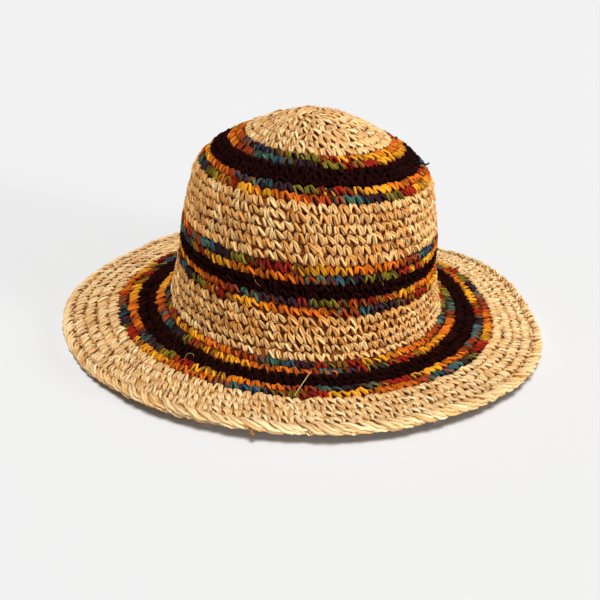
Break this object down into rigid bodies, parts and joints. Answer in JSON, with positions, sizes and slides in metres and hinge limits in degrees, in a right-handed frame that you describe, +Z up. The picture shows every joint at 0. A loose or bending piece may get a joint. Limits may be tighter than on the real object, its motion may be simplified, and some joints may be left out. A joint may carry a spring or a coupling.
{
  "type": "crocheted sun hat",
  "caption": "Crocheted sun hat with a domed crown and a wide, gently waved brim, worked in natural yarn with black and multicoloured striped bands and a corded rim.",
  "frame": {"origin": "on the surface that the hat lies on, under the middle of its outline", "axes": "+Z up through the crown, -Y towards the front, +X to the right as seen from the front"},
  "size_m": [0.3542, 0.3552, 0.154],
  "materials": {
    "natural_yarn": "rough hemp yarn",
    "multicolour_yarn": "space-dyed hemp yarn",
    "black_yarn": "rough hemp yarn"
  },
  "bodies": {
    "root": {"crown_tip": "natural_yarn", "top_band_inner": "multicolour_yarn", "top_band_black": "black_yarn", "top_band_outer": "multicolour_yarn", "crown_side": "natural_yarn", "head_band_upper": "multicolour_yarn", "head_band_black": "black_yarn", "head_band_lower": "multicolour_yarn", "crown_base": "natural_yarn", "brim_band_inner": "multicolour_yarn", "brim_band_black": "black_yarn", "brim_band_outer": "multicolour_yarn", "brim_edge": "natural_yarn", "rim_cord": "natural_yarn"}
  },
  "joints": []
}
